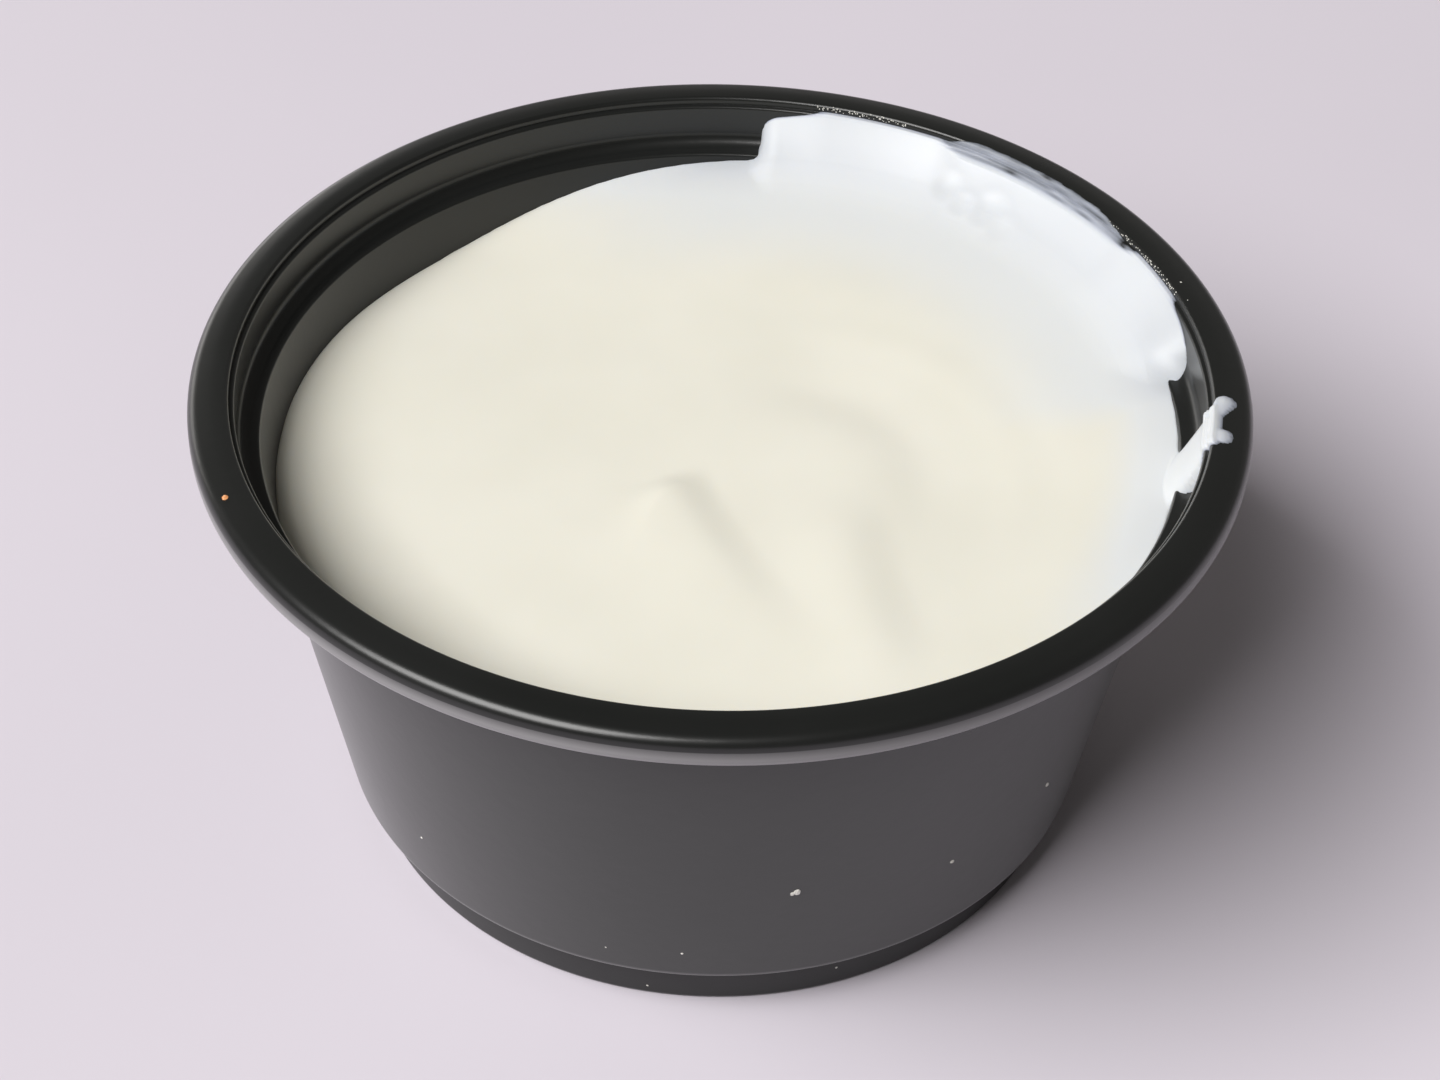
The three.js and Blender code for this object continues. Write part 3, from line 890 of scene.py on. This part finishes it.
def middle_grid(turns):
    """The open surface inside the fan: its points ring by ring, and its cool tint with painted shade."""
    radii = FAN_RADIUS * (np.arange(1, MIDDLE_RINGS) / MIDDLE_RINGS)
    z = FAN_HEIGHT - down_to_sauce(radii, np.full(len(radii), FAN_LOW), turns)
    return turned_points(radii[:, None], turns, z), cool_and_shade_amount(radii[:, None], turns, DEEP)


def fan_grid(turns):
    """The skin read by the fan: its points, its underside's, which of them show, sauce depth, and its cool
    tint with painted shade.
    """
    slopes = np.linspace(FAN_LOW, FAN_HIGH, FAN_LINES)
    wall, face, run = fan_on_plastic(inside_line(), slopes)
    wall, face, slope = wall[:, None], face[:, None], slopes[:, None]
    film = wall - film_thickness(run[:, None], turns[None, :]) / face
    body = down_to_sauce(np.full(FAN_LINES, FAN_RADIUS), slopes, turns)
    past_lip = FAN_RADIUS + wall * np.cos(slope) > RIM_RADIUS - RIM_CROWN_WIDTH
    body = np.where(past_lip, wall + BEHIND_PLASTIC, body)
    skin = soft_min(body, film, MENISCUS)
    under = np.broadcast_to(wall + SINK / face, skin.shape)
    drawn_in = TRACE_SINK * (1.0 - smooth((wall - skin) * face, 0.0, TRACE_DEPTH)) / face
    skin = np.minimum(skin + drawn_in, under - LEAST_THICKNESS)
    depth = (wall - skin) * face
    shows = depth > VISIBLE_DEPTH
    depth = depth + 1.0 - smooth(run, *DEEP_RUNS)[:, None]

    def points(distance):
        radius, z = FAN_RADIUS + distance * np.cos(slope), FAN_HEIGHT + distance * np.sin(slope)
        return turned_points(radius, turns, z)

    cool = cool_and_shade_amount(FAN_RADIUS + skin * np.cos(slope), turns, depth)
    return points(skin), points(under), shows, depth, cool


def sauce_faces(shows, middle_count):
    """Faces over a row of points: centre, middle rings, skin, underside, foot ring, foot centre."""
    rings, columns = shows.shape
    middle, skin = 1, 1 + middle_count * columns
    under = skin + rings * columns
    foot = under + rings * columns
    foot_centre = foot + columns
    faces = []

    def ring_of_quads(lower, upper):
        for j in range(columns):
            k = (j + 1) % columns
            faces.append((lower + j, lower + k, upper + k, upper + j))

    for j in range(columns):
        k = (j + 1) % columns
        faces.append((0, middle + j, middle + k))
        faces.append((foot_centre, foot + k, foot + j))
    for ring in range(middle_count):
        outer = middle + (ring + 1) * columns
        ring_of_quads(outer, outer - columns)
    ring_of_quads(foot, under)
    around = np.roll(shows, -1, axis=1)
    kept = shows[:-1] | shows[1:] | around[:-1] | around[1:]
    for i, j in np.argwhere(kept).tolist():
        k = (j + 1) % columns
        inner, outer = i * columns, (i + 1) * columns
        faces.append((skin + outer + j, skin + outer + k, skin + inner + k, skin + inner + j))
        faces.append((under + inner + j, under + inner + k, under + outer + k, under + outer + j))
        sides = (
            (i + 1 >= rings - 1 or not kept[i + 1, j], outer + k, outer + j),
            (i > 0 and not kept[i - 1, j], inner + j, inner + k),
            (not kept[i, j - 1], outer + j, inner + j),
            (not kept[i, k], inner + k, outer + k),
        )
        for is_open, a, b in sides:
            if is_open:
                faces.append((skin + a, skin + b, under + b, under + a))
    return faces


def sauce_mesh(finish):
    """One closed skin: the open surface, the smears, and the underside against the tub."""
    turns = sauce_columns()
    middle, middle_cool_and_shade = middle_grid(turns)
    skin, under, shows, depth, fan_cool_and_shade = fan_grid(turns)
    centre = [[0.0, 0.0, float(level_height(np.zeros(1), np.zeros(1))[0])]]
    foot = turned_points(FOOT_RADIUS - WALL_THICKNESS - FOOT_CLEARANCE, turns, FLOOR_THICKNESS)
    foot_centre = [[0.0, 0.0, FLOOR_THICKNESS]]
    points = np.concatenate([
        centre, middle.reshape(-1, 3), skin.reshape(-1, 3), under.reshape(-1, 3), foot, foot_centre,
    ])
    hidden = np.zeros(shows.size + len(turns) + 1)
    depths = np.concatenate([np.full(1 + middle_cool_and_shade.size, DEEP), depth.ravel(), hidden + DEEP])
    cool_and_shade_values = np.concatenate([[0.0], middle_cool_and_shade.ravel(), fan_cool_and_shade.ravel(), hidden])
    mesh = bpy.data.meshes.new("garlic_sauce")
    mesh.from_pydata((points * MM).tolist(), [], sauce_faces(shows, len(middle)))
    for name, values in (("depth", depths), ("cool", cool_and_shade_values)):
        attribute = mesh.attributes.new(name, "FLOAT", "POINT")
        attribute.data.foreach_set("value", np.clip(values, 0.0, DEEP))
    shell = bmesh.new()
    shell.from_mesh(mesh)
    bmesh.ops.delete(shell, geom=[v for v in shell.verts if not v.link_faces], context="VERTS")
    bmesh.ops.recalc_face_normals(shell, faces=shell.faces)
    shell.to_mesh(mesh)
    shell.free()
    mesh.materials.append(finish)
    mesh.shade_smooth()
    return mesh


def make_sauce(finish):
    sauce = add_piece("garlic_sauce", sauce_mesh(finish))
    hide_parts("sauce")


# Specks, droplets and the fleck.

def speck_tree(finish):
    """Geometry Nodes that set a lumpy crumb on each point, sized and turned by the point's attributes."""
    tree = Tree(bpy.data.node_groups.new("lumpy_specks", "GeometryNodeTree"))
    tree.socket("Places", "NodeSocketGeometry")
    inputs = {
        "Lumpiness": tree.socket("Lumpiness", "NodeSocketFloat"),
        "Proportions": tree.socket("Proportions", "NodeSocketVector"),
        "Seed": tree.socket("Seed", "NodeSocketInt"),
        "Fineness": tree.socket("Fineness", "NodeSocketInt"),
    }
    tree.socket("Specks", "NodeSocketGeometry", "OUTPUT")
    given = tree.node("NodeGroupInput")
    crumb = tree.node("GeometryNodeMeshIcoSphere")
    crumb.inputs["Radius"].default_value = 1.0
    lumps = tree.node("ShaderNodeTexNoise")
    lumps.inputs["Scale"].default_value = SPECK_LUMPS
    centred = tree.node("ShaderNodeMath", operation="SUBTRACT")
    centred.inputs[1].default_value = 0.5
    height = tree.node("ShaderNodeMath", operation="MULTIPLY")
    normal = tree.node("GeometryNodeInputNormal")
    push = tree.node("ShaderNodeVectorMath", operation="SCALE")
    lumpy = tree.node("GeometryNodeSetPosition")
    outward = tree.node("GeometryNodeInputNamedAttribute", data_type="FLOAT_VECTOR")
    outward.inputs["Name"].default_value = "outward"
    stand = tree.node("FunctionNodeAlignRotationToVector", axis="Z")
    spin = tree.node("FunctionNodeRandomValue", data_type="FLOAT")
    spin.inputs["Max"].default_value = 2 * math.pi
    about = tree.node("FunctionNodeAxisAngleToRotation")
    turned = tree.node("FunctionNodeRotateRotation", rotation_space="LOCAL")
    size = tree.node("GeometryNodeInputNamedAttribute", data_type="FLOAT")
    size.inputs["Name"].default_value = "size"
    scaled = tree.node("ShaderNodeVectorMath", operation="SCALE")
    strewn = tree.node("GeometryNodeInstanceOnPoints")
    smooth_faces = tree.node("GeometryNodeSetShadeSmooth")
    realize = tree.node("GeometryNodeRealizeInstances")
    coat = tree.node("GeometryNodeSetMaterial")
    coat.inputs["Material"].default_value = finish
    done = tree.node("NodeGroupOutput")
    tree.link(lumps.outputs["Fac"], centred.inputs[0])
    tree.link(centred.outputs["Value"], height.inputs[0])
    tree.link(given.outputs["Lumpiness"], height.inputs[1])
    tree.link(normal.outputs["Normal"], push.inputs["Vector"])
    tree.link(height.outputs["Value"], push.inputs["Scale"])
    tree.link(given.outputs["Fineness"], crumb.inputs["Subdivisions"])
    tree.link(crumb.outputs["Mesh"], lumpy.inputs["Geometry"])
    tree.link(push.outputs["Vector"], lumpy.inputs["Offset"])
    tree.link(lumpy.outputs["Geometry"], smooth_faces.inputs["Geometry"])
    tree.link(outward.outputs["Attribute"], stand.inputs["Vector"])
    tree.link(given.outputs["Seed"], spin.inputs["Seed"])
    tree.link(spin.outputs["Value"], about.inputs["Angle"])
    tree.link(stand.outputs["Rotation"], turned.inputs["Rotation"])
    tree.link(about.outputs["Rotation"], turned.inputs["Rotate By"])
    tree.link(given.outputs["Proportions"], scaled.inputs["Vector"])
    tree.link(size.outputs["Attribute"], scaled.inputs["Scale"])
    tree.link(given.outputs["Places"], strewn.inputs["Points"])
    tree.link(smooth_faces.outputs["Geometry"], strewn.inputs["Instance"])
    tree.link(turned.outputs["Rotation"], strewn.inputs["Rotation"])
    tree.link(scaled.outputs["Vector"], strewn.inputs["Scale"])
    tree.link(strewn.outputs["Instances"], realize.inputs["Geometry"])
    tree.link(realize.outputs["Geometry"], coat.inputs["Geometry"])
    tree.link(coat.outputs["Geometry"], done.inputs["Specks"])
    return tree.tree, inputs


def turned_place(turn, radius, z, lean):
    """A place at a turn in degrees, and the outward direction there, leaning up by an angle in degrees."""
    angle, rise = math.radians(turn), math.radians(lean)
    place = (radius * math.cos(angle), radius * math.sin(angle), z)
    return place, (math.cos(rise) * math.cos(angle), math.cos(rise) * math.sin(angle), math.sin(rise))


def make_specks(name, places, finish, proportions, lumpiness, seed, fineness):
    """Small pieces at (place, outward, size) entries in millimetres."""
    base = bpy.data.meshes.new(name + "_places")
    base.from_pydata([[v * MM for v in place] for place, _, _ in places], [], [])
    outward = base.attributes.new("outward", "FLOAT_VECTOR", "POINT")
    outward.data.foreach_set("vector", [v for _, way, _ in places for v in way])
    size = base.attributes.new("size", "FLOAT", "POINT")
    size.data.foreach_set("value", [size * MM for _, _, size in places])
    tree, inputs = speck_tree(finish)
    mesh = grown_mesh(name, base, tree, (
        (inputs["Lumpiness"], lumpiness),
        (inputs["Proportions"], proportions),
        (inputs["Seed"], seed),
        (inputs["Fineness"], fineness),
    ))
    add_piece(name, mesh)


def wall_specks():
    """Dried specks on the outside: on the sloping wall and on the foot."""
    places = []
    for turn, z, size in WALL_SPECKS:
        radius = wall_radius(z) if z > FOOT_HEIGHT else FOOT_RADIUS
        places.append((*turned_place(turn, radius, z, 0.0), size))
    return places


def lip_radius(z):
    """Radius of the lip's rounded edge at a height."""
    rise = max(z - HEIGHT + LIP_ROUND, 0.0)
    return LIP_RADIUS + LIP_ROUND - math.sqrt(LIP_ROUND ** 2 - rise ** 2)


def lip_droplets():
    """Tiny droplets strewn along the lip's rounded edge, just above the sauce's edge."""
    chance = np.random.RandomState(DROPLET_SEED)
    places = []
    for start, end, count in DROPLET_BANDS:
        for turn in chance.uniform(start, end, count):
            z = chance.uniform(*DROPLET_HEIGHTS)
            place, outward = turned_place(turn, lip_radius(z), z, 0.0)
            inward = [-v for v in outward]
            places.append((place, inward, chance.uniform(*DROPLET_SIZES)))
    return places


def rim_flecks(entries):
    """Flecks lying on the rim's top."""
    return [(*turned_place(turn, radius, rim_top(radius), 90.0), size) for turn, radius, size in entries]


# Table, light and camera.

def make_table():
    mesh = bpy.data.meshes.new("table")
    corners = [(x * TABLE_HALF, y * TABLE_HALF, 0) for x, y in ((-1, -1), (1, -1), (1, 1), (-1, 1))]
    mesh.from_pydata(corners, [], [(0, 1, 2, 3)])
    mesh.materials.append(pale_table())
    table = bpy.data.objects.new("table", mesh)
    bpy.context.scene.collection.objects.link(table)


def area_light(name, place, size, power, colour):
    lamp = bpy.data.lights.new(name, "AREA")
    lamp.shape = "RECTANGLE"
    lamp.size, lamp.size_y = size
    lamp.energy = power
    lamp.color = colour
    light = bpy.data.objects.new(name, lamp)
    light.location = place
    light.rotation_euler = (Vector(LIGHT_TARGET) - Vector(place)).to_track_quat("-Z", "Y").to_euler()
    bpy.context.scene.collection.objects.link(light)


def make_light():
    area_light(
        "window", place=(-1.02, -0.80, 1.55), size=(1.75, 1.1), power=59.4, colour=(1.0, 0.985, 0.975))
    area_light(
        "pale_wall", place=(-0.85, 1.15, 0.22), size=(1.1, 0.45), power=3.6, colour=(1.0, 0.97, 0.94))
    world = bpy.data.worlds.new("room")
    world.use_nodes = True
    background = world.node_tree.nodes["Background"]
    background.inputs["Color"].default_value = (1.0, 0.965, 0.90, 1.0)
    background.inputs["Strength"].default_value = 0.10
    bpy.context.scene.world = world
    bpy.context.scene.view_settings.view_transform = "Standard"


def make_camera():
    forward = Vector((0.0, math.cos(VIEW_ELEVATION), -math.sin(VIEW_ELEVATION)))
    level_up = Vector((0.0, math.sin(VIEW_ELEVATION), math.cos(VIEW_ELEVATION)))
    level_right = Vector((1.0, 0.0, 0.0))
    right = level_right * math.cos(VIEW_ROLL) + level_up * math.sin(VIEW_ROLL)
    up = level_up * math.cos(VIEW_ROLL) - level_right * math.sin(VIEW_ROLL)
    lens = bpy.data.cameras.new("camera")
    lens.lens = VIEW_LENS
    lens.sensor_width = VIEW_SENSOR
    lens.sensor_fit = "HORIZONTAL"
    lens.clip_start = 0.01
    camera = bpy.data.objects.new("camera", lens)
    turn = Matrix((right, up, -forward)).transposed().to_4x4()
    place = (Vector(VIEW_TARGET) - forward * VIEW_DISTANCE) * MM
    camera.matrix_world = Matrix.Translation(place) @ turn
    bpy.context.scene.collection.objects.link(camera)
    bpy.context.scene.camera = camera


make_camera()
make_light()
make_table()
make_tub(black_plastic())
make_sauce(garlic_sauce())
speck_finish = dried_sauce()
make_specks(
    "dried_specks", wall_specks(), speck_finish,
    proportions=(1.0, 0.8, 0.5), lumpiness=0.9, seed=1, fineness=SPECK_FINENESS)
make_specks(
    "lip_droplets", lip_droplets(), speck_finish,
    proportions=(1.0, 0.9, 0.7), lumpiness=0.3, seed=2, fineness=DROPLET_FINENESS)
make_specks(
    "pale_flecks", rim_flecks(PALE_FLECKS), speck_finish,
    proportions=(1.0, 0.7, 0.4), lumpiness=0.8, seed=3, fineness=FLECK_FINENESS)
make_specks(
    "orange_fleck", rim_flecks(ORANGE_FLECKS), orange_fleck(),
    proportions=(1.0, 0.85, 0.45), lumpiness=0.7, seed=4, fineness=SPECK_FINENESS)
